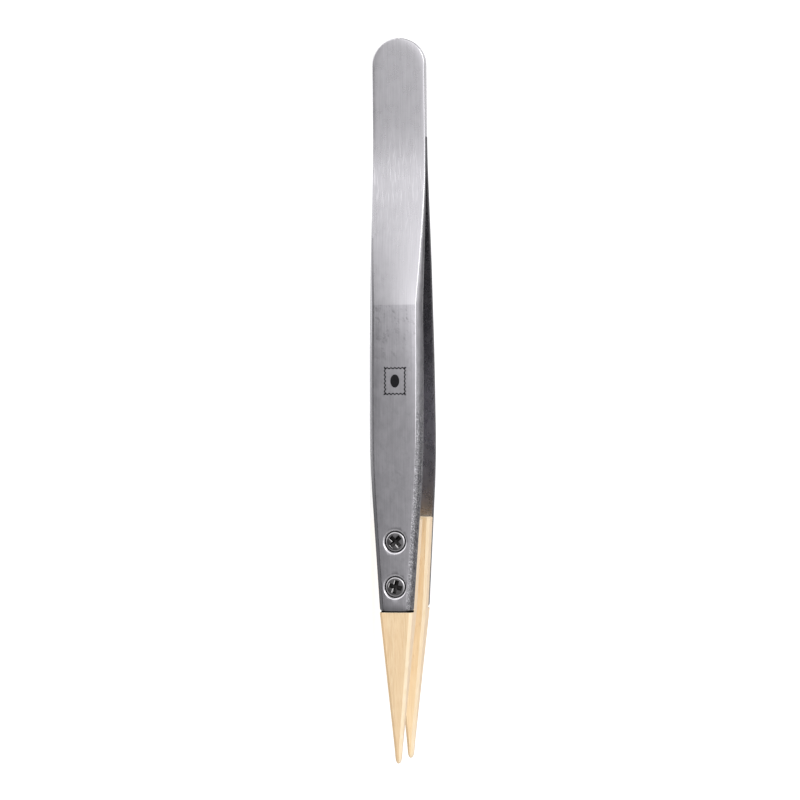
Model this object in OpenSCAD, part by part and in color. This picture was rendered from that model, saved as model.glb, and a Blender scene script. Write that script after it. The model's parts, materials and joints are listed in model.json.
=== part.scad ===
// Stamp tongs: two leaf-spring arms of stainless strip, spot-welded back to back at the
// heel, each carrying a shouldered bamboo tip held by two cross-head screws.
//
// Frame: +X runs from the heel to the tips and the origin is at mid-length. The arms open
// along Y, with the front arm on the -Y side. The tongs lie on their side edges at Z = 0.
// Distances along the tongs are first counted from the heel end, then shifted to the frame.

/* [Overall] */
// Length from the round heel to the ends of the tips
overall_length = 150; // [145:0.5:156]
// Length of the steel arms, from the heel to their square ends
steel_length = 118.3; // [116:0.1:122]

/* [Steel arms] */
// Width of the strip, from the heel to where the grip starts to taper
arm_width = 11.2; // [10.6:0.1:12]
// Thickness of the spring section, next to the heel
spring_thickness = 1; // [0.8:0.05:1.2]
// Thickness of the grip section
grip_thickness = 2.1; // [1.9:0.05:2.4]
// Distance from the heel at which the ground spring section ends in a straight line
grind_line = 55.3; // [53:0.1:58]
// How far the long bevels narrow the outer face on each side
bevel_inset = 1.2; // [0.6:0.05:1.3]
// Height of the straight side edge, below the bevel
side_height = 1; // [0.9:0.05:1.1]
// Length over which the two heels lie against each other
weld_length = 17; // [14:0.5:18]
// Outward slope of an arm along its spring section, in mm per mm
spring_slope = 0.132; // [0.12:0.001:0.14]
// Outward slope of an arm along its straight grip section, in mm per mm
grip_slope = 0.038; // [0.036:0.001:0.042]
// How much the full width of an arm loses per mm towards its square end
arm_taper = 0.136; // [0.11:0.001:0.15]
// Radius of the corners at the square end, in plan
corner_radius = 0.5; // [0.4:0.1:1.2]

/* [Flexure] */
// Distance from the heel of the axis that an arm bends about
flex_position = 30; // [28:0.5:32]
// Clearance of the knuckle that stands in for the bending strip
flex_clearance = 0.05; // [0.03:0.01:0.08]

/* [Bamboo tips] */
// Thickness of a tip where it lies under the steel
tip_thickness = 3; // [2.8:0.01:3.02]
// How far a tip steps out beyond the steel's end, to stand almost level with the steel
shoulder_height = 1.8; // [1.4:0.05:2]
// Gap between the steel's square end and that shoulder
shoulder_gap = 0.3; // [0.2:0.05:0.4]
// Thickness of a tip at its point
tip_end_thickness = 1.4; // [0.8:0.05:1.6]
// Width of a tip at its point
tip_end_width = 1; // [0.8:0.1:1.4]
// How far the point of a tip stands off the middle of its width, towards -Z
point_offset = 0.35; // [0:0.05:0.5]
// Length of the tip that is covered by the steel
tip_overlap = 18.9; // [18:0.1:22]

/* [Fasteners] */
// Distance from the steel's square end to the first screw
screw_end_distance = 4.9; // [4.5:0.1:5.5]
// Distance between the two screws of an arm
screw_spacing = 9.3; // [8.5:0.1:10]
// Diameter of the screw thread
screw_diameter = 2; // [1.6:0.1:2.2]
// Diameter of the screw head
head_diameter = 4.2; // [3.8:0.1:4.3]
// Height of the screw head
head_height = 1.1; // [0.9:0.05:1.2]
// Diameter of the counterbore that the head sits in
counterbore_diameter = 4.7; // [4.5:0.1:4.9]
// Steel left under the head
seat_thickness = 0.8; // [0.7:0.05:0.9]
// Outside diameter of a threaded insert
insert_diameter = 3.2; // [3:0.1:3.4]
// Length of a threaded insert
insert_length = 2.4; // [2.2:0.1:2.5]

/* [Hidden] */

$fn = 96;

// Lengths of the two bends of an arm, and where the second one starts
first_bend = 17;
second_bend = 12;
second_bend_start = grind_line - 5.3;
// The strip starts to thicken here, and how fast it does so
thickening_start = 25;
thickening_power = 1.3;
// The grip starts to taper towards its end here, over a soft shoulder
taper_start = 77.3;
taper_shoulder = 20;
// Smallest bevel, where the strip is thin
edge_break = 0.05;
// Distance between the cross-sections that an arm is swept through
station_step = 2.2;
corner_steps = 4;
// Steps along the covered edge of a tip, and round half of its point
cover_steps = 10;
point_steps = 5;

tip_start = steel_length - tip_overlap;
screw_tipward = steel_length - screw_end_distance;
screw_heelward = screw_tipward - screw_spacing;
grip_angle = atan(grip_slope);
flex_radius = 0.35 * thickness(flex_position);
flex_width = arm_width - 0.4;

// Screw details: clearance in the steel, thread clearance in the insert, glue line round it
shank_clearance = 0.15;
thread_clearance = 0.02;
glue_line = 0.01;
insert_hole_depth = insert_length + 0.1;
screw_reach = insert_length - 0.2;
head_chamfer = 0.18;
point_chamfer = 0.3;
recess_length = 2.3;
recess_width = 0.55;
recess_depth = 0.65;
// The crosses stand where the driver left them, in degrees
recess_turns = [45, 15];

// Spot welds between the heels: places along the tongs, radius and depth in each strip
weld_places = [4.6, 9.2, 13.8];
weld_radius = 1.3;
weld_depth = 0.35;

// Room past a surface that a cutting solid passes through
over = 1;

// Where x stands between start and start + span, from 0 to 1
function progress(x, start, span) = min(1, max(0, (x - start) / span));

// The area under a step from 0 to 1 with soft ends, from its start to x
function smooth_area(x, start, span) =
    let (u = progress(x, start, span))
    span * (pow(u, 3) - pow(u, 4) / 2) + max(0, x - start - span);

// Distance from the middle plane to the inner face of an arm
function inner_face(x) =
    spring_slope * smooth_area(x, weld_length, first_bend)
    - (spring_slope - grip_slope) * smooth_area(x, second_bend_start, second_bend);

// Thickness of the strip, which is ground thin between the heel and the grind line
function thickness(x) =
    let (u = progress(x, thickening_start, grind_line - thickening_start))
    spring_thickness + (grip_thickness - spring_thickness) * pow(u, thickening_power);

// Half the width of an arm, before its corners are rounded
function half_width(x) =
    arm_width / 2 - arm_taper / 2 * smooth_area(x, taper_start, taper_shoulder);

// What a rounded corner of radius r takes off the half width, near an end at x_end
function corner_loss(x, x_end, r) =
    x < x_end - r ? 0 : r - sqrt(max(0, r * r - pow(x - x_end + r, 2)));

// Height at which the bevel starts, and how far it has come in at the outer face
function bevel_start(x) = min(side_height, thickness(x) - edge_break);
function bevel_loss(x) =
    max(edge_break,
        bevel_inset * (thickness(x) - side_height) / (grip_thickness - side_height));

// Sideways lean of a tip, which grows from the steel's end to the point
function tip_lean(x) =
    point_offset * progress(x, steel_length, overall_length - steel_length);

// Cross-section of an arm: inner face, straight sides, bevels and outer face
function arm_section(x) =
    let (
        y = inner_face(x),
        side = half_width(x) - corner_loss(x, steel_length, corner_radius),
        outer = side - bevel_loss(x)
    )
    [
        [x, y, -side],
        [x, y, side],
        [x, y + bevel_start(x), side],
        [x, y + thickness(x), outer],
        [x, y + thickness(x), -outer],
        [x, y + bevel_start(x), -side]
    ];

// Where the cross-sections stand: even steps, then closer together round the corner
sweep_end = steel_length - corner_radius;
sweep_steps = ceil((sweep_end - flex_position) / station_step);
blade_stations = concat(
    [for (i = [0 : sweep_steps]) flex_position + (sweep_end - flex_position) * i / sweep_steps],
    [for (i = [1 : corner_steps]) sweep_end + corner_radius * sin(90 * i / corner_steps)]
);

// A closed solid through a list of cross-sections that all have the same number of points
module sweep(sections) {
    count = len(sections[0]);
    last = len(sections) - 1;
    sides = [
        for (i = [0 : last - 1], j = [0 : count - 1])
            let (k = (j + 1) % count)
            [i * count + j, i * count + k, (i + 1) * count + k, (i + 1) * count + j]
    ];
    near_cap = [for (j = [count - 1 : -1 : 0]) j];
    far_cap = [for (j = [0 : count - 1]) last * count + j];
    polyhedron(
        points = [for (section = sections) each section],
        faces = concat([near_cap], sides, [far_cap]),
        convexity = 4
    );
}

// Everything is built with the heel end at X = 0, then placed in the frame
module place() {
    translate([-overall_length / 2, 0, arm_width / 2]) children();
}

// The front arm is the mirror image of the rear arm
module front() {
    place() mirror([0, 1, 0]) children();
}

module rear() {
    place() children();
}

// The axis that an arm bends about, in the middle of its thickness, with Z along it
module at_flexure() {
    translate([flex_position, inner_face(flex_position) + thickness(flex_position) / 2, 0])
        children();
}

// A screw's place on the inner face of the steel, with Z pointing out through the arm
module at_screw(x) {
    translate([x, inner_face(x), 0]) rotate([0, 0, grip_angle]) rotate([-90, 0, 0]) children();
}

module spot_welds(radius) {
    for (x = weld_places)
        translate([x, 0, 0])
            rotate([90, 0, 0]) cylinder(h = 2 * weld_depth, r = radius, center = true);
}

// The fixed end of an arm, from the round heel to the bending axis
module heel() {
    heel_end = flex_position - flex_clearance;
    steps = ceil((heel_end - weld_length) / station_step);
    bend = [for (i = [0 : steps]) weld_length + (heel_end - weld_length) * i / steps];
    color("silver") difference() {
        intersection() {
            translate([0, 0, -arm_width / 2]) linear_extrude(arm_width)
                polygon(concat(
                    [[0, 0]],
                    [for (x = bend) [x, inner_face(x)]],
                    [for (i = [steps : -1 : 0]) [bend[i], inner_face(bend[i]) + thickness(bend[i])]],
                    [[0, spring_thickness]]
                ));
            rotate([-90, 0, 0]) translate([arm_width / 2, 0, -over]) linear_extrude(arm_width) {
                circle(d = arm_width);
                translate([0, -arm_width / 2]) square([flex_position, arm_width]);
            }
        }
        at_flexure()
            cylinder(h = arm_width + 2 * over, r = flex_radius + flex_clearance, center = true);
        spot_welds(weld_radius);
    }
}

module heel_spot_welds() {
    color("gray") place() spot_welds(weld_radius);
}

// The moving part of an arm, from the bending axis to its square end
module blade() {
    color("gainsboro") difference() {
        union() {
            sweep([for (x = blade_stations) arm_section(x)]);
            at_flexure() cylinder(h = flex_width, r = flex_radius, center = true);
        }
        for (x = [screw_heelward, screw_tipward])
            at_screw(x) {
                translate([0, 0, -over])
                    cylinder(h = grip_thickness + 2 * over, d = screw_diameter + 2 * shank_clearance);
                translate([0, 0, seat_thickness])
                    cylinder(h = grip_thickness, d = counterbore_diameter);
            }
    }
}

// Side view of a tip: flat inside, with a shoulder behind the steel and a taper from there on
module tip_profile() {
    drop = tip_thickness / cos(grip_angle);
    inner_end = inner_face(overall_length) - drop;
    shoulder = steel_length + shoulder_gap;
    polygon([
        [tip_start, inner_face(tip_start) - drop],
        [overall_length, inner_end],
        [overall_length, inner_end + tip_end_thickness],
        [shoulder, inner_face(shoulder) + shoulder_height],
        [shoulder, inner_face(shoulder)],
        [tip_start, inner_face(tip_start)]
    ]);
}

// Plan of a tip: as wide as the steel above it, then straight to a rounded point
module tip_plan() {
    radius = tip_end_width / 2;
    covered = [
        for (i = [0 : cover_steps])
            let (x = tip_start + tip_overlap * i / cover_steps)
            [x, half_width(x)]
    ];
    point = [
        for (i = [0 : point_steps])
            let (angle = 90 * i / point_steps)
            [overall_length - radius + radius * sin(angle), radius * cos(angle)]
    ];
    edge = concat(covered, point);
    other_edge = [for (i = [len(edge) - 2 : -1 : 0]) [edge[i].x, -edge[i].y]];
    polygon([for (p = concat(edge, other_edge)) [p.x, p.y + tip_lean(p.x)]]);
}

module tip() {
    color("burlywood") difference() {
        intersection() {
            translate([0, 0, -arm_width / 2]) linear_extrude(arm_width) tip_profile();
            rotate([-90, 0, 0]) linear_extrude(arm_width) tip_plan();
        }
        for (x = [screw_heelward, screw_tipward])
            at_screw(x) translate([0, 0, -insert_hole_depth])
                cylinder(h = insert_hole_depth + over, d = insert_diameter);
    }
}

// Cross recess, cut down from the top of a head at Z = 0
module cross_recess() {
    translate([0, 0, -recess_depth])
        for (turn = [0, 90])
            rotate([0, 0, turn]) translate([-recess_length / 2, -recess_width / 2, 0])
                cube([recess_length, recess_width, recess_depth + over]);
}

module tip_screw(x, recess_turn) {
    head_top = seat_thickness + head_height;
    head_radius = head_diameter / 2;
    shank_radius = screw_diameter / 2;
    color("dimgray") at_screw(x) difference() {
        rotate_extrude() polygon([
            [0, -screw_reach],
            [shank_radius - point_chamfer, -screw_reach],
            [shank_radius, point_chamfer - screw_reach],
            [shank_radius, seat_thickness],
            [head_radius, seat_thickness],
            [head_radius, head_top - head_chamfer],
            [head_radius - head_chamfer, head_top],
            [0, head_top]
        ]);
        translate([0, 0, head_top]) rotate([0, 0, recess_turn]) cross_recess();
    }
}

module tip_insert(x) {
    color("goldenrod") at_screw(x) translate([0, 0, -insert_length]) difference() {
        cylinder(h = insert_length, d = insert_diameter - 2 * glue_line);
        translate([0, 0, -over])
            cylinder(h = insert_length + 2 * over, d = screw_diameter + 2 * thread_clearance);
    }
}

front() heel();  // front_heel
rear() heel();  // rear_heel
heel_spot_welds();
front() blade();  // front_blade
rear() blade();  // rear_blade
front() tip();  // front_tip
rear() tip();  // rear_tip
front() tip_screw(screw_heelward, recess_turns[0]);  // front_screw_heelward
front() tip_screw(screw_tipward, recess_turns[1]);  // front_screw_tipward
rear() tip_screw(screw_heelward, recess_turns[1]);  // rear_screw_heelward
rear() tip_screw(screw_tipward, recess_turns[0]);  // rear_screw_tipward
front() tip_insert(screw_heelward);  // front_insert_heelward
front() tip_insert(screw_tipward);  // front_insert_tipward
rear() tip_insert(screw_heelward);  // rear_insert_heelward
rear() tip_insert(screw_tipward);  // rear_insert_tipward
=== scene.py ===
"""Stamp tongs: the looks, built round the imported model.

Lengths named in millimetres are turned into metres by MM where a mesh is made. Distances along the
tongs are counted from the heel end, as in the CAD source, and shifted to the frame by at().
"""

import json
import math

import bmesh
import bpy
from mathutils import Matrix, Vector


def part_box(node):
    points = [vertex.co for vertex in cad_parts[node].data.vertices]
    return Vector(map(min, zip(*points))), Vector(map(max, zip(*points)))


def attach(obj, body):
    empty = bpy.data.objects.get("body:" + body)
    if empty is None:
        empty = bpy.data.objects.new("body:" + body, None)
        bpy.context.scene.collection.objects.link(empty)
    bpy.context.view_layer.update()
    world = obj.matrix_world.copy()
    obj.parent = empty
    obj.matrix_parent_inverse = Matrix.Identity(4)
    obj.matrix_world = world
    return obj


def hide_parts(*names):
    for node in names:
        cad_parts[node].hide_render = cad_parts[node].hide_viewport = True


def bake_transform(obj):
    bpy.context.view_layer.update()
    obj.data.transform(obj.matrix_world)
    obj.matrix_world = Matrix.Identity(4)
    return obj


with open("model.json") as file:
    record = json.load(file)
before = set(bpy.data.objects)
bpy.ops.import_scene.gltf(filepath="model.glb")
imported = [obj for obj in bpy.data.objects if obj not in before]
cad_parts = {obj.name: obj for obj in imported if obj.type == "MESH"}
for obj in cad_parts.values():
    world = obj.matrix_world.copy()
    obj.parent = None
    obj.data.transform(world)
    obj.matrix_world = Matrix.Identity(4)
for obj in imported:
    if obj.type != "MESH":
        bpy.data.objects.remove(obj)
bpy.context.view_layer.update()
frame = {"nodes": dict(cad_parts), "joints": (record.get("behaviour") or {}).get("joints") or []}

MM = 0.001

# ---------------------------------------------------------------- driving dimensions, in mm

HEEL_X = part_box("front_heel")[0].x / MM
ARM_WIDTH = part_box("front_heel")[1].z / MM
STEEL_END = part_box("front_blade")[1].x / MM - HEEL_X
TIP_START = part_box("front_tip")[0].x / MM - HEEL_X
TIP_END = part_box("front_tip")[1].x / MM - HEEL_X
FLEX_X = frame["joints"][0]["pos_m"][0] / MM - HEEL_X

# The bent strip
WELD_LENGTH = 17.0
FIRST_BEND = 17.0
SECOND_BEND = 12.0
GRIND_LINE = 55.3
SECOND_BEND_START = GRIND_LINE - 5.3
SPRING_SLOPE = 0.132
GRIP_SLOPE = 0.038
GRIP_ANGLE = math.atan(GRIP_SLOPE)
SPRING_THICKNESS = 1.0
GRIP_THICKNESS = 2.1
THICKENING_START = 25.0
THICKENING_POWER = 1.3
TAPER = 0.136
TAPER_START = 77.3
TAPER_SHOULDER = 20.0
CORNER_RADIUS = 0.5

# Edges and bevels of the strip
SIDE_HEIGHT = 1.0
BEVEL_INSET = 1.2
LOWER_BEVEL_INSET = 0.95
EDGE_BREAK = 0.12
CORNER_SOFTNESS = 0.07
BEVEL_BULGE = 0.06
HEEL_ROLL = 0.055
HEEL_ROLL_WIDTH = 1.5
STRAIGHT_ROLL_WIDTH = 0.675
GRIP_ROLL = 0.05
GRIP_ROLL_WIDTH = 1.5
HEEL_CROWN = 0.025
GRIND_CROWN = 0.24
GRIP_CROWN = 0.065
CROWN_FLATNESS = 0.6
WAIST = 0.1
WAIST_REACH = 7.0

# Where the strip's shape, finish and painted highlights change. A pair is a start and a span
HEEL_ROLL_FADE = (13.0, 12.0)
HEEL_ROLL_NARROWING = (2.0, 6.0)
GRIP_ROLL_RISE = (GRIND_LINE - 8, 10.0)
GRIP_ROLL_FADE = (GRIND_LINE + 10, 24.0)
CROWN_RISE = (THICKENING_START + 5, GRIND_LINE - THICKENING_START - 5)
CROWN_FALL = (GRIND_LINE, 25.0)
ARC_RISE = (THICKENING_START, 14.0)
ARC_FADE = (GRIND_LINE, 6.0)
# Up to these places the heel's edges and sides, the upper edges and the upper corner get near-white
# steel: painted highlight lines
HEEL_BRIGHT_EDGE_END = 20.5
BRIGHT_EDGE_END = 41.0
BRIGHT_CORNER_END = 84.0

# Bamboo
TIP_THICKNESS = 3.0
SHOULDER_HEIGHT = 1.8
SHOULDER_GAP = 0.3
TIP_END_THICKNESS = 1.4
TIP_END_WIDTH = 1.0
POINT_OFFSET = 0.35
TIP_CHAMFER = 0.58

# Fasteners
SCREW_END_DISTANCE = 4.9
SCREW_SPACING = 9.3
SCREW_PLACES = (STEEL_END - SCREW_END_DISTANCE - SCREW_SPACING, STEEL_END - SCREW_END_DISTANCE)
SCREW_DIAMETER = 2.0
HEAD_DIAMETER = 4.06
HEAD_HEIGHT = 1.1
SEAT_THICKNESS = 0.8
COUNTERBORE_DIAMETER = 4.4
SHANK_HOLE_DIAMETER = 2.3
INSERT_DIAMETER = 3.2
INSERT_LENGTH = 2.4
SCREW_REACH = 2.2
WELD_PLACES = (4.6, 9.2, 13.8)
WELD_RADIUS = 1.3
WELD_DEPTH = 0.35

# Etched stamp outline
MARK_PLACE = 71.0
MARK_WIDTH = 4.8
MARK_LENGTH = 5.9
MARK_HOLES = (6, 7)
PERFORATION = 0.26
OVAL_HALF_LENGTH = 1.35
OVAL_HALF_WIDTH = 0.95

SIDES = {"front": -1, "rear": 1}


# ---------------------------------------------------------------- shape of the strip

def progress(x, start, span):
    """How far x is from start to start + span, from 0 to 1."""
    return min(1.0, max(0.0, (x - start) / span))


def smooth_area(x, start, span):
    """The area under a soft step from 0 to 1, from its start to x."""
    u = progress(x, start, span)
    return span * (u ** 3 - u ** 4 / 2) + max(0.0, x - start - span)


def inner_face(x):
    """Distance from the middle plane to the inner face of an arm."""
    return (SPRING_SLOPE * smooth_area(x, WELD_LENGTH, FIRST_BEND)
            - (SPRING_SLOPE - GRIP_SLOPE) * smooth_area(x, SECOND_BEND_START, SECOND_BEND))


def thickness(x):
    u = progress(x, THICKENING_START, GRIND_LINE - THICKENING_START)
    return SPRING_THICKNESS + (GRIP_THICKNESS - SPRING_THICKNESS) * u ** THICKENING_POWER


def half_width(x):
    """Half the strip's width, with a slight waist where it was ground."""
    waist = WAIST * math.exp(-((x - GRIND_LINE) / WAIST_REACH) ** 2)
    return ARM_WIDTH / 2 - TAPER / 2 * smooth_area(x, TAPER_START, TAPER_SHOULDER) - waist


def soft_step(x, start, span):
    """A smooth step from 0 at start to 1 at start + span."""
    u = progress(x, start, span)
    return u * u * (3 - 2 * u)


def crown(x):
    """How much lower the outer face is at its edges than along its middle."""
    return (HEEL_CROWN + (GRIND_CROWN - HEEL_CROWN) * soft_step(x, *CROWN_RISE)
            - (GRIND_CROWN - GRIP_CROWN) * soft_step(x, *CROWN_FALL))


def face_height(x, share):
    """Height of the crowned outer face above the inner one, at a share of its half width. The crown
    is an arc where the strip was ground, and flatter in the middle elsewhere."""
    arc = soft_step(x, *ARC_RISE) * (1 - soft_step(x, *ARC_FADE))
    flat = CROWN_FLATNESS * (1 - arc)
    return thickness(x) - crown(x) * share ** 2 * (1 - flat + flat * share ** 2)


def at(x, y, z, side=1):
    """A point in the frame: x from the heel end, y from the middle plane, z from mid-width, in mm."""
    return Vector(((HEEL_X + x) * MM, side * y * MM, (ARM_WIDTH / 2 + z) * MM))


# ---------------------------------------------------------------- mesh helpers

# Faces that meet at less than this, in degrees, are shaded smooth
SHARP_ANGLE = 28


def make_object(name, verts, faces, materials, face_slots=None, sharp_angle=SHARP_ANGLE):
    mesh = bpy.data.meshes.new(name)
    mesh.from_pydata([tuple(v) for v in verts], [], faces)
    for material in materials:
        mesh.materials.append(material)
    if face_slots:
        mesh.polygons.foreach_set("material_index", face_slots)
    obj = bpy.data.objects.new(name, mesh)
    bpy.context.scene.collection.objects.link(obj)
    tidy_mesh(obj, sharp_angle)
    return obj


def tidy_mesh(obj, sharp_angle):
    """Points the normals outwards and shades smooth up to sharp_angle degrees."""
    bm = bmesh.new()
    bm.from_mesh(obj.data)
    bmesh.ops.recalc_face_normals(bm, faces=bm.faces)
    bm.to_mesh(obj.data)
    bm.free()
    obj.data.shade_smooth()
    obj.data.set_sharp_from_angle(angle=math.radians(sharp_angle))


def loft(name, rings, materials, slot_of=None, sharp_angle=SHARP_ANGLE, caps=True):
    """A closed skin through rings that hold the same number of points. slot_of(i, j) is the
    material slot of the face after ring i and point j."""
    count = len(rings[0])
    verts = [p for ring in rings for p in ring]
    faces, slots = [], []
    for i in range(len(rings) - 1):
        for j in range(count):
            k = (j + 1) % count
            faces.append((i * count + j, i * count + k, (i + 1) * count + k, (i + 1) * count + j))
            slots.append(slot_of(i, j) if slot_of else 0)
    if caps:
        last = (len(rings) - 1) * count
        faces += [tuple(range(count)), tuple(range(last, last + count))]
        slots += [slot_of(0, 0) if slot_of else 0, slot_of(len(rings) - 2, 0) if slot_of else 0]
    return make_object(name, verts, faces, materials, slots, sharp_angle)


def lathe_rings(profile, steps):
    """Rings round local Z through (radius, height) points, all radii above 0."""
    turns = [2 * math.pi * k / steps for k in range(steps)]
    return [[Vector((r * math.cos(a) * MM, r * math.sin(a) * MM, h * MM)) for a in turns]
            for r, h in profile]


def cut(obj, cutters, sharp_angle=SHARP_ANGLE):
    """Takes the cutters away from obj, and removes them."""
    for cutter in cutters:
        modifier = obj.modifiers.new("cut", "BOOLEAN")
        modifier.object = cutter
        modifier.operation = "DIFFERENCE"
        modifier.solver = "EXACT"
    dependency = bpy.context.evaluated_depsgraph_get()
    mesh = bpy.data.meshes.new_from_object(obj.evaluated_get(dependency), depsgraph=dependency)
    obj.modifiers.clear()
    obj.data = mesh
    for cutter in cutters:
        bpy.data.objects.remove(cutter)
    mesh.shade_smooth()
    mesh.set_sharp_from_angle(angle=math.radians(sharp_angle))


def screw_frame(side, x):
    """Local Z points out through the arm from its inner face, and local X along the arm."""
    along = Vector((math.cos(GRIP_ANGLE), side * math.sin(GRIP_ANGLE), 0))
    out = Vector((-math.sin(GRIP_ANGLE), side * math.cos(GRIP_ANGLE), 0))
    across = out.cross(along)
    turn = Matrix((along, across, out)).transposed().to_4x4()
    return Matrix.Translation(at(x, inner_face(x), 0, side)) @ turn


# ---------------------------------------------------------------- materials

class Graph:
    """A small builder of node materials. Sizes of patterns are given in mm."""

    def __init__(self, name):
        self.material = bpy.data.materials.new(name)
        self.material.use_nodes = True
        self.nodes = self.material.node_tree.nodes
        self.links = self.material.node_tree.links
        self.shader = self.nodes["Principled BSDF"]

    def node(self, kind, inputs=None, **settings):
        made = self.nodes.new(kind)
        for key, value in settings.items():
            setattr(made, key, value)
        for key, value in (inputs or {}).items():
            if isinstance(value, bpy.types.NodeSocket):
                self.links.new(value, made.inputs[key])
            else:
                made.inputs[key].default_value = value
        return made

    def place(self, size, turn=0.0):
        """Object coordinates, in which a pattern is size = (x, y, z) mm long per unit and is
        turned by turn radians in the plane of the outer faces."""
        where = self.node("ShaderNodeTexCoord").outputs["Object"]
        if turn:
            where = self.node("ShaderNodeVectorRotate", {"Vector": where, "Angle": turn},
                              rotation_type="Y_AXIS").outputs["Vector"]
        scale = [1 / (s * MM) for s in size]
        return self.node("ShaderNodeMapping", {"Vector": where, "Scale": scale}).outputs["Vector"]

    def noise(self, size, detail, roughness=0.55, turn=0.0):
        made = self.node("ShaderNodeTexNoise", {"Vector": self.place(size, turn), "Scale": 1.0,
                                                "Detail": detail, "Roughness": roughness})
        return made.outputs["Fac"]

    def ramp(self, value, low, high, to_low=0.0, to_high=1.0):
        made = self.node("ShaderNodeMapRange", {"Value": value, "From Min": low, "From Max": high,
                                                "To Min": to_low, "To Max": to_high},
                         interpolation_type="SMOOTHSTEP")
        return made.outputs["Result"]

    def along(self, start, end, low=0.0, high=1.0):
        """low before start and high after end, both in mm from the heel end."""
        where = self.node("ShaderNodeTexCoord").outputs["Object"]
        split = self.node("ShaderNodeSeparateXYZ", {"Vector": where})
        return self.ramp(split.outputs["X"], (HEEL_X + start) * MM, (HEEL_X + end) * MM, low, high)

    def math(self, operation, a, b):
        return self.node("ShaderNodeMath", {0: a, 1: b}, operation=operation).outputs[0]

    def mix(self, factor, a, b):
        """Mixes two colours. They are the node's inputs 6 and 7, and the result its output 2."""
        made = self.node("ShaderNodeMix", data_type="RGBA")
        for socket, value in ((made.inputs[0], factor), (made.inputs[6], a), (made.inputs[7], b)):
            if isinstance(value, bpy.types.NodeSocket):
                self.links.new(value, socket)
            elif isinstance(value, (int, float)):
                socket.default_value = value
            else:
                socket.default_value = (*value, 1.0)
        return made.outputs[2]

    def bump(self, height, distance):
        made = self.node("ShaderNodeBump", {"Height": height, "Distance": distance * MM,
                                            "Strength": 1.0})
        return made.outputs["Normal"]

    def set(self, **inputs):
        for key, value in inputs.items():
            socket = self.shader.inputs[key.replace("_", " ")]
            if isinstance(value, bpy.types.NodeSocket):
                self.links.new(value, socket)
            elif isinstance(value, tuple):
                socket.default_value = (*value, 1.0)
            else:
                socket.default_value = value
        return self.material


def steel(name, dark, light, rough, streak=0.5, mottle=0.5, bump=0.004, grain=0.12, depth=2.5,
          metallic=1.0, scratches=None, grit=None, smudge=None, painted_shade=()):
    """Brushed steel with streaks along X and soft mottling. grain is the streaks' width, and depth
    their size across the opening, so that a slanted face doesn't cut them short.
    scratches = (amount, from, to) puts thin bright scratches between two places,
    grit = (amount, from, to) brings in pits and oblique grinding marks with their bump, the
    brightest painted near white and less metallic as a painted sparkle and others darker,
    smudge = (amount, from, to) brings dark patches that thin out, and each darkening span =
    (from, to, dark before, dark after) darkens the steel between two places as painted shade
    along the length. Places are in mm from the heel."""
    g = Graph(name)
    streaks = g.noise((9.0, depth, grain), detail=3.0)
    fine = g.noise((2.5, depth, grain * 0.6), detail=1.0)
    mottles = g.noise((2.4, 1.6, 1.6), detail=3.0, roughness=0.6)
    blend = g.math("ADD", g.math("MULTIPLY", g.ramp(streaks, 0.3, 0.7), streak),
                   g.math("MULTIPLY", g.ramp(mottles, 0.3, 0.7), mottle))
    colour = g.mix(g.math("MULTIPLY", blend, 1 / (streak + mottle)), dark, light)
    roughness = g.ramp(mottles, 0.25, 0.75, rough - 0.03, rough + 0.04)
    height = g.math("ADD", streaks, g.math("MULTIPLY", fine, 0.5))
    if smudge:
        amount, start, end = smudge
        here = g.along(start, end, amount, 0.3 * amount)
        patch = g.ramp(g.noise((1.7, 1.0, 1.0), detail=6.0, roughness=0.75, turn=0.6), 0.50, 0.72)
        colour = g.mix(g.math("MULTIPLY", patch, here), colour, (0.12, 0.12, 0.125))
        pin = g.ramp(g.noise((0.3, 0.22, 0.22), detail=1.0), 0.72, 0.8)
        colour = g.mix(g.math("MULTIPLY", pin, here), colour, (0.05, 0.05, 0.05))
    if scratches:
        amount, start, end = scratches
        lines = g.math("MAXIMUM",
                       g.ramp(g.noise((5.5, depth, 0.15), detail=1.0, turn=0.09), 0.60, 0.72),
                       g.ramp(g.noise((4.0, depth, 0.15), detail=1.0, turn=-0.12), 0.62, 0.74))
        here = g.math("MULTIPLY", g.along(start - 6, start + 4), g.along(end + 8, end - 4))
        lines = g.math("MULTIPLY", lines, g.math("MULTIPLY", here, amount))
        colour = g.mix(lines, colour, (0.97, 0.96, 0.98))
    if grit:
        amount, start, end = grit
        pits = g.noise((0.26, 0.24, 0.22), detail=1.0)
        marks = g.ramp(g.noise((1.3, 0.5, 0.18), detail=1.0, turn=0.75), 0.58, 0.70)
        # The marks and brightest pits are painted near white and less metallic: a painted sparkle on
        # real pits and grinding marks, which keep their bump
        bright = g.math("MAXIMUM", g.ramp(pits, 0.58, 0.64), marks)
        strength = g.math("MULTIPLY", g.along(start, end), amount)
        colour = g.mix(g.math("MULTIPLY", bright, strength), colour, (0.97, 0.97, 0.99))
        metallic = g.math("SUBTRACT", metallic, g.math("MULTIPLY", bright,
                                                       g.math("MULTIPLY", strength, 0.55)))
        dull = g.math("MULTIPLY", g.ramp(pits, 0.46, 0.36), strength)
        colour = g.mix(dull, colour, (0.10, 0.10, 0.11))
        height = g.math("ADD", height, g.math("MULTIPLY", bright, g.math("MULTIPLY", strength, 2.0)))
    # Painted shade: each span darkens the steel between two places along the tongs
    for start, end, before, after in painted_shade:
        colour = g.mix(g.along(start, end, before, after), colour, (0.05, 0.05, 0.052))
    return g.set(Base_Color=colour, Metallic=metallic, Roughness=roughness,
                 Normal=g.bump(height, bump))


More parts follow.
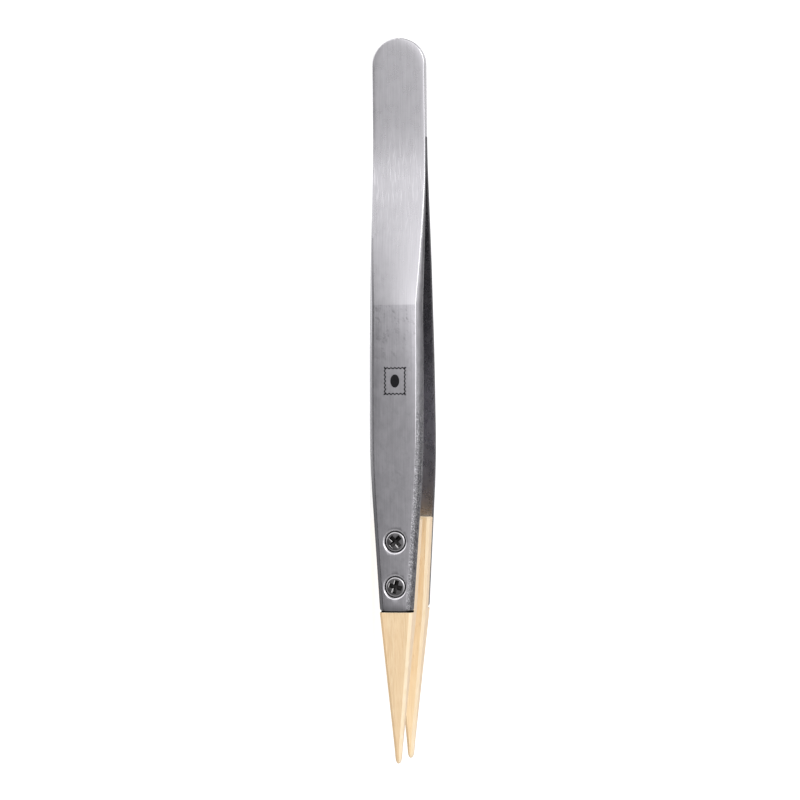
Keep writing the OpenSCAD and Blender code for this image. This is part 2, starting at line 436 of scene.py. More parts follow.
def bamboo(name, low, high, bundles):
    """Sanded bamboo: long pale fibres, short darker bundles and a soft change of tone."""
    g = Graph(name)
    fibres = g.noise((14.0, 0.22, 0.22), detail=5.0)
    broad = g.noise((30.0, 1.6, 1.6), detail=2.0)
    tone = g.mix(g.ramp(fibres, 0.3, 0.72), low, high)
    warm = [v * f for v, f in zip(high, (1.0, 0.93, 0.86))]
    tone = g.mix(g.math("MULTIPLY", g.ramp(broad, 0.35, 0.7), 0.4), tone, warm)
    dashes = g.ramp(g.noise((2.2, 0.17, 0.17), detail=1.0), 0.66, 0.74)
    tone = g.mix(g.math("MULTIPLY", dashes, bundles), tone, (0.62, 0.39, 0.19))
    height = g.math("SUBTRACT", fibres, g.math("MULTIPLY", dashes, 0.4))
    return g.set(Base_Color=tone, Roughness=g.ramp(fibres, 0.3, 0.7, 0.5, 0.62),
                 Normal=g.bump(height, 0.02), Specular_IOR_Level=0.35)


def brass(name):
    g = Graph(name)
    turned = g.noise((0.5, 0.5, 0.05), detail=3.0)
    colour = g.mix(turned, (0.70, 0.48, 0.18), (0.86, 0.66, 0.32))
    return g.set(Base_Color=colour, Metallic=1.0, Roughness=g.ramp(turned, 0.3, 0.7, 0.22, 0.34),
                 Normal=g.bump(turned, 0.004))


def matte(name, dark, light):
    """A dull, finely grained matte surface: the etched coating, and the painted shade in the seam."""
    g = Graph(name)
    grain = g.noise((0.12, 0.12, 0.12), detail=3.0)
    return g.set(Base_Color=g.mix(grain, dark, light), Roughness=g.ramp(grain, 0.3, 0.7, 0.5, 0.7),
                 Normal=g.bump(grain, 0.003), Specular_IOR_Level=0.08)


# Each darkening span given to a steel below is painted shade along the length
GROUND = steel("ground_steel", (0.64, 0.634, 0.65), (0.76, 0.752, 0.772), 0.29, streak=0.6,
               mottle=0.3, scratches=(0.7, 23, 38),
               painted_shade=[(13, 20, 0.07, 0.0), (28, 40, 0.0, 0.06), (40, 50, 0.0, 0.06)])
# The grip's last darkening span paints the shade along the steel's end
GRIP = steel("grip_steel", (0.467, 0.461, 0.479), (0.615, 0.608, 0.628), 0.34, streak=0.7,
             mottle=0.5, bump=0.005, smudge=(0.6, 60, 70),
             painted_shade=[(58, 72, 0.0, 0.14), (57, 82, 0.0, 0.12),
                   (STEEL_END - 1.6, STEEL_END - 0.2, 0.0, 0.45)])
# The bevels' grit: real pits and grinding marks, with a painted sparkle
BEVEL = steel("bevel_steel", (0.37, 0.366, 0.383), (0.53, 0.525, 0.54), 0.36, streak=0.5,
              mottle=0.5, bump=0.008, grit=(0.6, 60, 90))
BEVEL_LOW = steel("bevel_low_steel", (0.34, 0.336, 0.35), (0.50, 0.495, 0.51), 0.38, streak=0.5,
                  mottle=0.5, bump=0.008, grit=(0.5, 64, 90), painted_shade=[(66, 90, 0.0, 0.35)])
BEVEL_CLEAN = steel("clean_bevel_steel", (0.44, 0.436, 0.452), (0.58, 0.575, 0.592), 0.34,
                    streak=0.6, mottle=0.3, painted_shade=[(40, 54, 0.0, 0.5), (84, 100, 0.0, 0.5)])
# Near-white copies of the steel for edges, corners and the lower ridge: painted highlight lines
EDGE = steel("edge_steel", (0.76, 0.755, 0.77), (0.92, 0.915, 0.93), 0.22, streak=0.5, mottle=0.2,
             painted_shade=[(33, 41, 0.0, 0.42)])
CORNER = steel("corner_steel", (0.76, 0.755, 0.77), (0.92, 0.915, 0.93), 0.22, streak=0.5,
               mottle=0.2, painted_shade=[(74, 88, 0.0, 0.4)])
LOWER_EDGE = steel("lower_edge_steel", (0.80, 0.795, 0.81), (0.94, 0.935, 0.95), 0.28,
                   streak=0.5, mottle=0.2, painted_shade=[(80, 98, 0.0, 0.85)])
# Near-black copy of the steel for the strip's sides and the grip's lower corner: painted shade
FLANK = steel("flank_steel", (0.095, 0.093, 0.099), (0.165, 0.162, 0.17), 0.36, streak=0.6,
              mottle=0.4, depth=0.12, grit=(0.12, 20, 60))
# The inner faces' darkening spans paint the shade between the arms and at the heel
INNER = steel("inner_steel", (0.52, 0.51, 0.54), (0.68, 0.67, 0.705), 0.27, streak=0.6,
              mottle=0.4, painted_shade=[(20, 36, 0.35, 0.0), (56, 80, 0.42, 0.12), (80, 96, 0.0, 0.2)])
# Near-black steel for the bores, the weld pockets and the strip's end face: painted shade
BORE = steel("bored_steel", (0.05, 0.05, 0.05), (0.14, 0.14, 0.145), 0.4, streak=0.4, mottle=0.4)
# Near-white steel for the counterbores' broken rims: a painted highlight crescent
RIM = steel("rim_steel", (0.86, 0.85, 0.87), (0.97, 0.96, 0.98), 0.2, streak=0.4, mottle=0.4)
SCREW = steel("screw_steel", (0.12, 0.118, 0.12), (0.22, 0.217, 0.22), 0.30, streak=0.2,
              mottle=0.8, grain=0.3)
# Bright steel for the screw heads' rounded rims: a painted highlight
SCREW_EDGE = steel("screw_edge_steel", (0.56, 0.555, 0.56), (0.74, 0.73, 0.74), 0.18, grain=0.3)
# Near-white, less metallic steel on recess faces toward the key lamp: a painted glint
SCREW_GLINT = steel("screw_glint_steel", (0.70, 0.695, 0.69), (0.95, 0.94, 0.93), 0.35, mottle=0.9,
                   grain=0.3, metallic=0.3)
# Near-black steel for the cross recesses' walls and floors: painted shade
SCREW_RECESS = steel("screw_recess_steel", (0.02, 0.02, 0.02), (0.06, 0.058, 0.058), 0.32, grain=0.3)
WELD = steel("weld_steel", (0.26, 0.24, 0.23), (0.40, 0.38, 0.36), 0.5, streak=0.1, mottle=0.9)
BAMBOO = bamboo("bamboo_face", (0.682, 0.486, 0.279), (0.779, 0.613, 0.398), 0.4)
# A lighter copy of the bamboo for the tips' inner faces: painted light against the shade between the
# arms
BAMBOO_INNER = bamboo("bamboo_inner_face", (0.80, 0.59, 0.345), (0.91, 0.735, 0.48), 0.4)
# A darker copy of the bamboo for the lower sides and chamfers toward the floor: painted shade
BAMBOO_SHADE = bamboo("bamboo_lower_side", (0.55, 0.38, 0.20), (0.64, 0.475, 0.29), 0.3)
# A paler copy of the bamboo for the upper chamfers, the eased upper end and the shoulder's rim:
# painted highlight
BAMBOO_EDGE = bamboo("bamboo_edge", (0.86, 0.70, 0.46), (0.93, 0.80, 0.60), 0.15)
# A paler, pinker copy of the bamboo for the upper sides: partly the side grain's own tone, partly
# painted light
BAMBOO_SIDE = bamboo("bamboo_side", (0.83, 0.63, 0.41), (0.93, 0.76, 0.55), 0.3)
BRASS = brass("brass")
ETCH = matte("etched_black", (0.004, 0.004, 0.005), (0.02, 0.02, 0.022))
# Near-black matte for the faces of the gap between the steel's end and the bamboo's shoulder: painted
# shade
SEAM = matte("dark_seam", (0.012, 0.010, 0.008), (0.04, 0.035, 0.03))

STRIP_SLOTS = [GROUND, GRIP, BEVEL, BEVEL_LOW, BEVEL_CLEAN, EDGE, CORNER, LOWER_EDGE, FLANK,
               INNER, BORE, RIM]
SLOT = {m: i for i, m in enumerate(STRIP_SLOTS)}


# ---------------------------------------------------------------- the arms

# Places across a face, as shares of its half width, close together at the edges
INNER_SHARES = (-1, -0.985, -0.6, -0.2, 0.2, 0.6, 0.985)
HALF_SHARES = (1, 0.985, 0.96, 0.92, 0.86, 0.78, 0.66, 0.5, 0.33, 0.16)
OUTER_SHARES = HALF_SHARES + (0,) + tuple(-share for share in reversed(HALF_SHARES))


def heel_roll(x, inset):
    """How far the heel's outer face rolls down at a distance from its rim."""
    amount = HEEL_ROLL * (1 - soft_step(x, *HEEL_ROLL_FADE))
    narrowing = (HEEL_ROLL_WIDTH - STRAIGHT_ROLL_WIDTH) * soft_step(x, *HEEL_ROLL_NARROWING)
    return amount * max(0.0, 1 - inset / (HEEL_ROLL_WIDTH - narrowing)) ** 2


def grip_roll(x, inset):
    """How far the grip's outer face rolls down at a distance from its bevel."""
    amount = GRIP_ROLL * soft_step(x, *GRIP_ROLL_RISE) * (1 - soft_step(x, *GRIP_ROLL_FADE))
    return amount * max(0.0, 1 - inset / GRIP_ROLL_WIDTH) ** 2


def edge_points(x, full_inset):
    """One edge of the cross-section, from the inner face up to the outer one, as in
    strip_outline()."""
    grown = (thickness(x) - SIDE_HEIGHT) / (GRIP_THICKNESS - SIDE_HEIGHT)
    inset = max(EDGE_BREAK, full_inset * grown)
    edge_inset = inset + CORNER_SOFTNESS
    outer_edge = face_height(x, 1) - heel_roll(x, edge_inset) - grip_roll(x, 0)
    bevel_start = min(SIDE_HEIGHT, outer_edge - EDGE_BREAK)
    slant = math.hypot(inset, outer_edge - bevel_start)
    soft_part = min(CORNER_SOFTNESS, slant / 3)
    run, rise = inset / slant * soft_part, (outer_edge - bevel_start) / slant * soft_part
    bulge = BEVEL_BULGE * max(0.0, grown)
    # The inner corner is broken by a quarter arc, with points at 30 and 60 degrees
    arc_near = EDGE_BREAK * 0.134
    points = [(EDGE_BREAK, 1, 0.0, "inner_corner"),
              (EDGE_BREAK / 2, 1, arc_near, "inner_corner"),
              (arc_near, 1, EDGE_BREAK / 2, "inner_corner"),
              (0.0, 1, EDGE_BREAK, "side"),
              (0.0, 1, bevel_start - soft_part, "ridge"),
              (run, 1, bevel_start + rise, "bevel_low"),
              (inset / 2 - bulge / 2, 1, (bevel_start + outer_edge + bulge) / 2, "bevel_top"),
              (inset - run, 1, outer_edge - rise, "corner")]
    return edge_inset, points


def strip_outline(x):
    """The cross-section's points as (inset, share, height, region): inset from the side edge, share
    of the face's half width with its sign, height above the inner face, and the region of the
    surface that starts at the point. The lower bevel is the narrower one."""
    upper_inset, upper = edge_points(x, BEVEL_INSET)
    lower_inset, lower = edge_points(x, LOWER_BEVEL_INSET)
    bottom = [(EDGE_BREAK, share, 0.0, "inner") for share in INNER_SHARES]
    face = [(upper_inset if share > 0 else lower_inset, share, face_height(x, share), "face")
            for share in OUTER_SHARES]
    face[-1] = (*face[-1][:3], "corner")
    left = [(inset, -1, height, region)
            for (inset, _, height, _), (*_, region) in zip(lower[:0:-1], lower[-2::-1])]
    return bottom + upper + face + left


# The outer face's first and last point in a ring. Eight points of the upper edge come before it
FACE_FIRST = len(INNER_SHARES) + 8
FACE_LAST = FACE_FIRST + len(OUTER_SHARES) - 1


def strip_slot(region, x, lower):
    """The material of a region of the strip's surface at x. The lower bevels are the clean ones.
    Near-white steel on the edges and corners paints highlight lines, and near-black steel on the
    sides and the grip's lower corner paints shade.
    """
    if region == "face":
        return GROUND if x < GRIND_LINE - 1e-6 else GRIP
    if region == "inner":
        return INNER
    if x < HEEL_BRIGHT_EDGE_END:
        return EDGE
    if region in ("side", "inner_corner"):
        return FLANK
    if lower and region in ("ridge", "bevel_low"):
        return LOWER_EDGE
    if lower and x >= BRIGHT_EDGE_END:
        return FLANK if region == "corner" and x > GRIND_LINE - 1e-6 else BEVEL_CLEAN
    if region == "corner":
        return CORNER if x < BRIGHT_CORNER_END else BEVEL
    if x < BRIGHT_EDGE_END:
        return EDGE
    return BEVEL_LOW if region == "bevel_low" else BEVEL


def strip_ring(x, side, turn=None, shrink=0.0):
    """The cross-section in the frame. turn is the angle round the heel's round end, in radians."""
    ring = []
    radius = ARM_WIDTH / 2
    corner = 0.0
    if x > STEEL_END - CORNER_RADIUS:
        over = min(CORNER_RADIUS, x - STEEL_END + CORNER_RADIUS)
        corner = CORNER_RADIUS - math.sqrt(CORNER_RADIUS ** 2 - over ** 2)
    middle = thickness(x) / 2
    for j, (inset, share, height, _) in enumerate(strip_outline(x)):
        if turn is None:
            place, reach = x, half_width(x) - corner - inset
        else:
            place = radius - (radius - inset) * math.cos(turn)
            reach = (radius - inset) * math.sin(turn)
        if FACE_FIRST <= j <= FACE_LAST:
            height -= heel_roll(x, radius - math.hypot(max(0.0, radius - place), share * reach))
            height -= grip_roll(x, reach * (1 - abs(share)))
        reach -= shrink
        height += max(-shrink, min(shrink, middle - height))
        ring.append(at(place, inner_face(place) + height, share * reach, side))
    return ring


def strip_stations():
    """(x, turn) of every cross-section, with one exactly on the grind line."""
    radius = ARM_WIDTH / 2
    turns = [math.radians(a) for a in (3, 8, 14, 20, 27, 34, 41, 48, 55, 62, 69, 76, 83)]
    stations = [(radius - radius * math.cos(a), a) for a in turns]
    straight_end = STEEL_END - CORNER_RADIUS
    before = int(round(GRIND_LINE - radius))
    after = int(round(straight_end - GRIND_LINE))
    stations += [(radius + (GRIND_LINE - radius) * k / before, None) for k in range(before)]
    stations += [(GRIND_LINE + (straight_end - GRIND_LINE) * k / after, None)
                 for k in range(after + 1)]
    steps = 5
    stations += [(straight_end + CORNER_RADIUS * math.sin(math.pi / 2 * k / steps), None)
                 for k in range(1, steps)]
    return stations


def build_strip(name, side):
    stations = strip_stations()
    rings = [strip_ring(x, side, turn) for x, turn in stations]
    rings.append(strip_ring(STEEL_END, side, shrink=EDGE_BREAK))
    regions = [p[3] for p in strip_outline(GRIND_LINE)]

    def slot_of(i, j):
        # The strip's end face is near black: painted shade
        if i >= len(stations) - 1:
            return SLOT[BORE]
        return SLOT[strip_slot(regions[j], stations[i][0], j >= FACE_LAST)]

    strip = loft(name, rings, STRIP_SLOTS, slot_of)
    cutters = []
    for x in SCREW_PLACES:
        cutters.append(counterbore_cutter(side, x))
    for x in WELD_PLACES:
        cutters.append(weld_pocket_cutter(side, x))
    cut(strip, cutters)
    return strip


def counterbore_cutter(side, x):
    """A counterbore with a broken rim and the shank's clearance hole, as a solid to take away."""
    bore, shank = COUNTERBORE_DIAMETER / 2, SHANK_HOLE_DIAMETER / 2
    top = GRIP_THICKNESS
    rim = [(0.0, 0.45), (0.03, 0.30), (0.08, 0.18), (0.14, 0.11), (0.28, 0.05), (0.42, 0.0)]
    profile = [(shank, -0.6), (shank, SEAT_THICKNESS), (bore, SEAT_THICKNESS)]
    profile += [(bore + out, top - down) for out, down in rim] + [(bore + 0.6, top + 0.4)]
    # The shank hole, seat and bore wall are near black as painted shade, and the broken rim near
    # white as a painted highlight
    cutter = loft("counterbore_cutter", lathe_rings(profile, 96), STRIP_SLOTS,
                  lambda i, j: SLOT[RIM] if i >= 3 else SLOT[BORE])
    cutter.matrix_world = screw_frame(side, x)
    return cutter


def weld_pocket_cutter(side, x):
    profile = [(WELD_RADIUS, -WELD_DEPTH), (WELD_RADIUS, WELD_DEPTH)]
    # The pockets' walls are near black: painted shade
    cutter = loft("weld_cutter", lathe_rings(profile, 48), STRIP_SLOTS, lambda i, j: SLOT[BORE])
    turn = Matrix.Rotation(math.radians(-90), 4, "X")
    cutter.matrix_world = Matrix.Translation(at(x, 0, 0, side)) @ turn
    return cutter


# ---------------------------------------------------------------- bamboo tips

SHOULDER = STEEL_END + SHOULDER_GAP


def tip_half_width(x):
    if x <= STEEL_END:
        return half_width(x)
    share = (x - STEEL_END) / (TIP_END - STEEL_END)
    return half_width(STEEL_END) * (1 - share) + TIP_END_WIDTH / 2 * share


def tip_faces(x, open_part):
    """Distances of the inner and outer face of a tip from the middle plane. The open part starts
    at the shoulder, and the covered part lies against the steel."""
    drop = TIP_THICKNESS / math.cos(GRIP_ANGLE)
    inner = inner_face(x) - drop
    if not open_part:
        return inner, inner_face(x)
    share = (x - SHOULDER) / (TIP_END - SHOULDER)
    end = inner_face(TIP_END) - drop + TIP_END_THICKNESS
    return inner, (inner_face(SHOULDER) + SHOULDER_HEIGHT) * (1 - share) + end * share


CHAMFER_STEPS = (0.0, 0.1, 0.9, 1.0)


def tip_ring(x, side, open_part, scale=1.0, sunk=0.0):
    """A cross-section with four chamfers, counted from the inner upper corner. Under the steel the
    outer chamfers are small. sunk lowers the outer face."""
    inner, outer = tip_faces(x, open_part)
    reach, half = tip_half_width(x), (outer - inner) / 2
    middle = (inner + outer) / 2
    lean = -POINT_OFFSET * progress(x, STEEL_END, TIP_END - STEEL_END)
    inner_cut = min(TIP_CHAMFER, 0.72 * reach, 0.8 * half) * scale
    outer_cut = inner_cut * (1.0 if open_part else 0.12)
    points = []

    def corner(sign_z, sign_y, size, steps):
        for t in steps:
            swell = 0.12 * size * t * (1 - t)
            z = sign_z * (reach * scale - size * (1 - t) + swell)
            y = middle + sign_y * (half * scale - size * t + swell)
            points.append((z + lean, y - (sunk if sign_y > 0 else 0)))

    corner(1, -1, inner_cut, CHAMFER_STEPS)
    corner(1, 1, outer_cut, CHAMFER_STEPS[::-1])
    corner(-1, 1, outer_cut, CHAMFER_STEPS)
    corner(-1, -1, inner_cut, CHAMFER_STEPS[::-1])
    return [at(x, y, z, side) for z, y in points]


def build_tip(name, side):
    """A tip with chamfered edges, an eased upper end, and an eased shoulder past a gap whose faces
    are painted near black as shade.
    """
    ease, round_end, edge = 0.22, 1.1, 0.1
    places = [(TIP_START + 0.002, False, 0.91, 0), (TIP_START + ease * 0.5, False, 0.97, 0),
              (TIP_START + ease, False, 1, 0)]
    seam_start = STEEL_END - 0.05
    covered = seam_start - TIP_START - ease
    covered_steps, open_steps = 12, 30
    places += [(TIP_START + ease + covered * k / covered_steps, False, 1, 0)
               for k in range(1, covered_steps + 1)]
    places += [(SHOULDER - 0.005, False, 1, 0), (SHOULDER, True, 1, edge),
               (SHOULDER + edge * 0.3, True, 1, edge * 0.3), (SHOULDER + edge, True, 1, 0)]
    open_start = SHOULDER + edge
    open_length = TIP_END - round_end - open_start
    places += [(open_start + open_length * k / open_steps, True, 1, 0)
               for k in range(1, open_steps + 1)]
    for degrees in (25, 45, 60, 72, 81, 87):
        a = math.radians(degrees)
        places.append((TIP_END - round_end + round_end * math.sin(a), True, math.cos(a) ** 0.9, 0))
    rings = [tip_ring(x, side, *rest) for x, *rest in places]

    def slot_of(i, j):
        """Faces 3 and 11 after a ring's point are the sides, 7 and 15 the outer and inner face,
        and the others the chamfers between them."""
        x = places[i][0]
        outer = 4 <= j <= 10
        # The gap's outer faces are near black: painted shade
        if seam_start - 0.01 <= x < SHOULDER - 0.001 and outer:
            return slots.index(SEAM)
        # Lower sides and chamfers take the darker bamboo copy: painted shade
        if 8 <= j <= 14:
            return slots.index(BAMBOO_SHADE)
        # The upper chamfers, eased upper end and shoulder rim take the paler bamboo copy: painted
        # highlight
        rim = SHOULDER - 0.001 <= x < SHOULDER + edge * 0.9 and outer
        if x < TIP_START + ease * 0.9 or j % 4 != 3 or rim:
            return slots.index(BAMBOO_EDGE)
        # The upper side takes the paler side copy, partly painted light, and the inner face the
        # lighter copy, painted light
        return slots.index({3: BAMBOO_SIDE, 7: BAMBOO, 15: BAMBOO_INNER}[j])

    slots = [BAMBOO, BAMBOO_INNER, BAMBOO_EDGE, BAMBOO_SIDE, BAMBOO_SHADE, SEAM]
    tip = loft(name, rings, slots, slot_of, sharp_angle=30)
    cutters = []
    for x in SCREW_PLACES:
        profile = [(INSERT_DIAMETER / 2, -INSERT_LENGTH - 0.1), (INSERT_DIAMETER / 2, 0.5)]
        cutter = loft("insert_cutter", lathe_rings(profile, 64), [BAMBOO])
        cutter.matrix_world = screw_frame(side, x)
        cutters.append(cutter)
    cut(tip, cutters, sharp_angle=30)
    return tip


# ---------------------------------------------------------------- fasteners

SCREW_SLOTS = [SCREW, SCREW_EDGE, SCREW_RECESS, SCREW_GLINT]
# Faces of the cross recess that get a painted glint, near-white and less metallic and chosen to face
# the key lamp, counted by the ring's points
GLINT_WALLS = (7, 9, 11)
DEEP_GLINT = 11


def phillips_rings(turn):
    """Rings of a tapering cross recess, from above the head down to its blunt point. A level is
    an arm's reach, half its width, and a height."""
    levels = [(1.60, 0.68, 0.3), (1.46, 0.55, 0.02), (1.34, 0.42, -0.09), (1.22, 0.34, -0.5),
              (0.45, 0.24, -0.95)]
    rings = []
    for reach, half, height in levels:
        ring = []
        for quarter in range(4):
            a = math.radians(90 * quarter) + turn
            for along, across in ((reach, -half), (reach, half), (half, half)):
                ring.append(Vector(((along * math.cos(a) - across * math.sin(a)) * MM,
                                    (along * math.sin(a) + across * math.cos(a)) * MM,
                                    height * MM)))
        rings.append(ring)
    return rings


def build_screw(name, side, x, turn_degrees):
    """Pan-head screw with a chamfered rim, a cross recess and a rolled thread."""
    head, shank = HEAD_DIAMETER / 2, SCREW_DIAMETER / 2 - 0.02
    top = SEAT_THICKNESS + HEAD_HEIGHT
    steps = 72
    pitch, depth = 0.4, 0.2
    lead_in, run_out = 0.3, 0.25
    rows_per_pitch = 8
    length = SEAT_THICKNESS + SCREW_REACH
    rows = int(length / pitch * rows_per_pitch)
    rings = []
    for r in range(rows + 1):
        height = -SCREW_REACH + length * r / rows
        ring = []
        ends = min(1.0, (height + SCREW_REACH) / lead_in, (SEAT_THICKNESS - height) / run_out)
        for k in range(steps):
            a = 2 * math.pi * k / steps
            phase = (height / pitch - k / steps) % 1.0
            tooth = abs(phase - 0.5) * 2
            radius = shank - depth * max(tooth, 1 - max(0.0, ends))
            ring.append(Vector((radius * math.cos(a) * MM, radius * math.sin(a) * MM, height * MM)))
        rings.append(ring)
    rim = 0.2
    profile = [(head - 0.06, SEAT_THICKNESS), (head, SEAT_THICKNESS + 0.06), (head, top - rim),
               (head - 0.05, top - rim * 0.45), (head - rim, top - 0.015), (head - rim - 0.07, top),
               (head * 0.55, top + 0.02), (0.1, top + 0.03)]
    first_head_ring = len(rings)
    rings += lathe_rings(profile, steps)
    # The head's rounded rim takes the bright edge steel: a painted highlight ring
    screw = loft(name, rings, SCREW_SLOTS,
                 lambda i, j: 1 if first_head_ring + 2 <= i < first_head_ring + 5 else 0,
                 sharp_angle=35)
    # Recess faces: the top bevel is the dark screw steel, with a painted glint on the front screws'
    # faces toward the key lamp; the walls and floor are near black as painted shade, with one wall a
    # painted glint
    glint_walls = GLINT_WALLS if side == SIDES["front"] else ()
    cutter = loft("recess_cutter", phillips_rings(math.radians(turn_degrees)), SCREW_SLOTS,
                  lambda i, j: (1, 3 if j in glint_walls else 0, 3 if j == DEEP_GLINT else 2, 2)[i],
                  sharp_angle=20)
    cutter.matrix_world = Matrix.Translation((0, 0, (top + 0.02) * MM))
    cut(screw, [cutter], sharp_angle=35)
    screw.data.transform(screw_frame(side, x))
    return screw


def build_insert(name, side, x):
    """Brass insert: two knurled bands, a groove between them and a plain bore."""
    bore = SCREW_DIAMETER / 2 + 0.02
    knurl, groove, clearance, bore_chamfer = 0.05, 0.12, 0.06, 0.12
    steps = 96
    outer = []
    for share, knurled in ((0.0, False), (0.04, True), (0.2, True), (0.36, True), (0.4, False),
                           (0.55, False), (0.59, True), (0.75, True), (0.92, True), (1.0, False)):
        height = -INSERT_LENGTH * share
        ring = []
        for k in range(steps):
            a = 2 * math.pi * k / steps
            ridge = knurl * (k % 4 in (0, 1)) if knurled else -groove
            radius = INSERT_DIAMETER / 2 - clearance + ridge
            ring.append(Vector((radius * math.cos(a) * MM, radius * math.sin(a) * MM, height * MM)))
        outer.append(ring)
    inner = lathe_rings([(bore, -INSERT_LENGTH), (bore, -bore_chamfer), (bore + bore_chamfer, 0.0)],
                        steps)
    rings = outer + inner + [outer[0]]
    insert = loft(name, rings, [BRASS], caps=False, sharp_angle=30)
    weld_seam(insert)
    insert.data.transform(screw_frame(side, x))
    return insert


def weld_seam(obj):
    """Joins the first and last ring of a skin that closes on itself."""
    bm = bmesh.new()
    bm.from_mesh(obj.data)
    bmesh.ops.remove_doubles(bm, verts=bm.verts, dist=1e-8)
    bmesh.ops.recalc_face_normals(bm, faces=bm.faces)
    bm.to_mesh(obj.data)
    bm.free()


# ---------------------------------------------------------------- etched mark

def stamp_outline(width, length, holes_across, holes_along):
    """The outline of a postage stamp, as (point, inward direction) pairs. A hole's edge bites in."""
    half_w, half_l, per_hole = width / 2, length / 2, 8
    corners = [Vector((-half_l, -half_w)), Vector((half_l, -half_w)), Vector((half_l, half_w)),
               Vector((-half_l, half_w))]
    outline = []
    for side_index, corner in enumerate(corners):
        following = corners[(side_index + 1) % 4]
        holes = holes_along if side_index % 2 == 0 else holes_across
        step = (following - corner) / holes
        inward = Vector((-step.y, step.x)).normalized()
        for k in range(holes * per_hole):
            bite = PERFORATION * math.sin(math.pi * (k % per_hole) / per_hole)
            outline.append((corner + step * (k / per_hole) + inward * bite, inward))
    return outline


def build_mark(name, side):
    """A plain postage stamp with a perforated edge and an oval, laid on the crowned outer face."""
    line, lift = 0.27, 0.012
    verts, faces = [], []

    def add_band(*loops):
        base, count = len(verts), len(loops[0])
        for loop in loops:
            verts.extend(on_face(p) for p in loop)
        for ring in range(len(loops) - 1):
            start = base + ring * count
            faces.extend((start + k, start + (k + 1) % count, start + count + (k + 1) % count,
                          start + count + k) for k in range(count))

    def on_face(p):
        x, z = MARK_PLACE + p.x, p.y
        share = z / (half_width(x) - BEVEL_INSET - CORNER_SOFTNESS)
        return at(x, inner_face(x) + face_height(x, share) + lift, z, side)

    outline = stamp_outline(MARK_WIDTH, MARK_LENGTH, *MARK_HOLES)
    add_band([p for p, _ in outline], [p + inward * line for p, inward in outline])
    turns = [2 * math.pi * k / 48 for k in range(48)]
    oval = [Vector((OVAL_HALF_LENGTH * math.cos(a), OVAL_HALF_WIDTH * math.sin(a))) for a in turns]
    add_band(*[[p * r for p in oval] for r in (1.0, 0.75, 0.5, 0.25, 0.02)])
    mark = make_object(name, verts, faces, [ETCH])
    solid = mark.modifiers.new("thickness", "SOLIDIFY")
    solid.thickness = 0.003 * MM
    solid.offset = 0
    return mark


# ---------------------------------------------------------------- assemble

# Places this far, in mm, to both sides of the joint's axis along the tongs; nothing here bends the
# strip with them
BLEND_REACH = 12.0
BLEND_START, BLEND_END = at(FLEX_X - BLEND_REACH, 0, 0), at(FLEX_X + BLEND_REACH, 0, 0)
# Turns of the cross recesses in degrees, heelward and tipward
RECESS_TURNS = {"front": (45, -15), "rear": (15, 45)}

for label, side in SIDES.items():
    arm = f"{label}_arm"
    strip = build_strip(f"{label}_strip", side)
    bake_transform(strip)
    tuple(BLEND_START)
    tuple(BLEND_END)
    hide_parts(f"{label}_heel", f"{label}_blade")

    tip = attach(build_tip(f"{label}_bamboo_tip", side), arm)
    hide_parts(f"{label}_tip")

    for place, x, turn in zip(("heelward", "tipward"), SCREW_PLACES, RECESS_TURNS[label]):
        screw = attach(build_screw(f"{label}_{place}_screw", side, x, turn), arm)
        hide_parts(f"{label}_screw_{place}")
        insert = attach(build_insert(f"{label}_{place}_insert", side, x), arm)
        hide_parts(f"{label}_insert_{place}")

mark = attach(build_mark("front_stamp_mark", SIDES["front"]), "front_arm")

welds = frame["nodes"]["heel_spot_welds"]
welds.data.materials.clear()
welds.data.materials.append(WELD)


# ---------------------------------------------------------------- floor, light and camera

def build_floor():
    half = 3.0
    corners = [(-half, -half, 0), (half, -half, 0), (half, half, 0), (-half, half, 0)]
    floor = make_object("floor", corners, [(0, 1, 2, 3)], [floor_material()])
    floor.visible_glossy = False


def floor_material():
    g = Graph("floor_paper")
    grain = g.noise((3.0, 3.0, 3.0), detail=3.0)
    colour = g.mix(grain, (0.36, 0.36, 0.36), (0.40, 0.40, 0.40))
    return g.set(Base_Color=colour, Roughness=0.9, Specular_IOR_Level=0.1,
                 Emission_Color=(1.0, 1.0, 1.0), Emission_Strength=0.82)


# Glows of the studio: direction, cosine at full strength, cosine at its edge, strength outside
# and strength inside
GLOWS = (((-0.325, -0.933, 0.156), 0.979, 0.842, 0.33, 1.45),  # before the front arm
         ((-0.19, -0.72, 0.67), 0.95, 0.79, 0.0, 0.35),  # above that one
         ((-0.25, 0.955, 0.16), 0.97, 0.80, 0.0, 0.5),  # behind the rear arm
         ((0.0, 0.10, -0.995), 0.995, 0.93, 0.0, 0.75),  # below
         ((0.68, 0.68, -0.27), 0.93, 0.60, 0.0, 0.9),  # past the tips, on the rear arm's side
         ((-0.66, -0.38, -0.65), 0.95, 0.73, 0.0, 0.8))  # low, on the heel's side


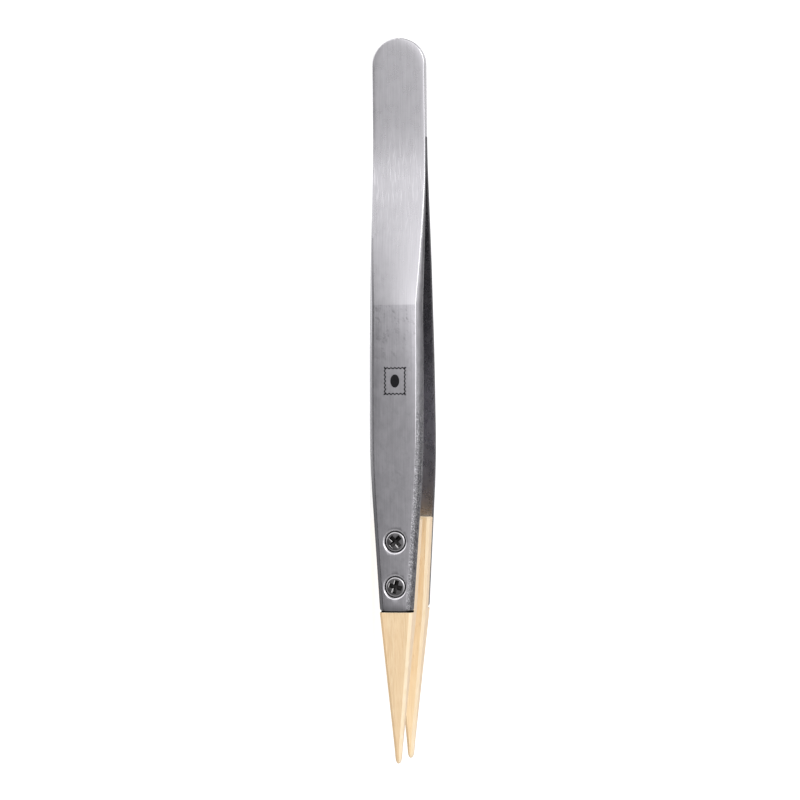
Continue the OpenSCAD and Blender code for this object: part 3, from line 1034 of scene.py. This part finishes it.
def soft_world():
    """An even grey studio with soft glows, which the steel mirrors."""
    world = bpy.data.worlds.new("studio")
    bpy.context.scene.world = world
    world.use_nodes = True
    nodes, links = world.node_tree.nodes, world.node_tree.links
    where = nodes.new("ShaderNodeTexCoord")
    background = nodes["Background"]
    background.inputs["Color"].default_value = (0.98, 0.97, 1.0, 1.0)
    total = background.inputs["Strength"]
    for direction, near_edge, far_edge, low, high in GLOWS:
        dot = nodes.new("ShaderNodeVectorMath")
        dot.operation = "DOT_PRODUCT"
        dot.inputs[1].default_value = direction
        ramp = nodes.new("ShaderNodeMapRange")
        ramp.interpolation_type = "SMOOTHSTEP"
        for key, value in (("From Min", far_edge), ("From Max", near_edge), ("To Min", low),
                           ("To Max", high)):
            ramp.inputs[key].default_value = value
        links.new(where.outputs["Generated"], dot.inputs[0])
        links.new(dot.outputs["Value"], ramp.inputs["Value"])
        add = nodes.new("ShaderNodeMath")
        add.inputs[1].default_value = 0.0
        links.new(ramp.outputs["Result"], add.inputs[0])
        links.new(add.outputs[0], total)
        total = add.inputs[1]


def area_light(name, place, target, size, power, glossy=True):
    """A lamp at place that faces target, with size = (width, height), all in metres."""
    data = bpy.data.lights.new(name, "AREA")
    data.shape = "RECTANGLE"
    data.size, data.size_y = size
    data.energy = power
    light = bpy.data.objects.new(name, data)
    bpy.context.scene.collection.objects.link(light)
    light.visible_glossy = glossy
    light.location = place
    light.rotation_mode = "QUATERNION"
    light.rotation_quaternion = (Vector(target) - Vector(place)).to_track_quat("-Z", "Y")


def build_camera():
    """Looks at the front arm's outer face with the heel up, 14 degrees above the level. The
    numbers were fitted to the photograph's outline."""
    elevation, yaw, roll = math.radians(14), math.radians(0.719), math.radians(-0.597)
    distance = 0.7343
    aim = at(TIP_END / 2, 0, -0.61)
    back = Vector((0, -math.cos(elevation), math.sin(elevation)))
    up = Vector((-1, 0, 0))
    back, up = back * math.cos(yaw) + up * math.sin(yaw), up * math.cos(yaw) - back * math.sin(yaw)
    right = up.cross(back)
    right, up = (right * math.cos(roll) + up * math.sin(roll),
                 up * math.cos(roll) - right * math.sin(roll))
    data = bpy.data.cameras.new("camera")
    data.sensor_width = 36
    data.lens = 159.1309
    data.clip_start, data.clip_end = 0.01, 20
    camera = bpy.data.objects.new("camera", data)
    bpy.context.scene.collection.objects.link(camera)
    axes = Matrix((right, up, back)).transposed().to_4x4()
    camera.matrix_world = Matrix.Translation(aim + back * distance) @ axes
    bpy.context.scene.camera = camera


bpy.context.scene.view_settings.view_transform = "Standard"
build_floor()
soft_world()
area_light("overhead", (-0.25, -0.1, 1.1), (0, 0, 0), (0.9, 0.9), 5, glossy=False)
area_light("softbox", (-0.3, -0.8, 0.85), (0, 0, 0), (0.6, 0.6), 3.5, glossy=False)
area_light("key", (-0.55, -0.75, 0.65), (0, 0, 0), (0.4, 0.4), 1.2)
build_camera()
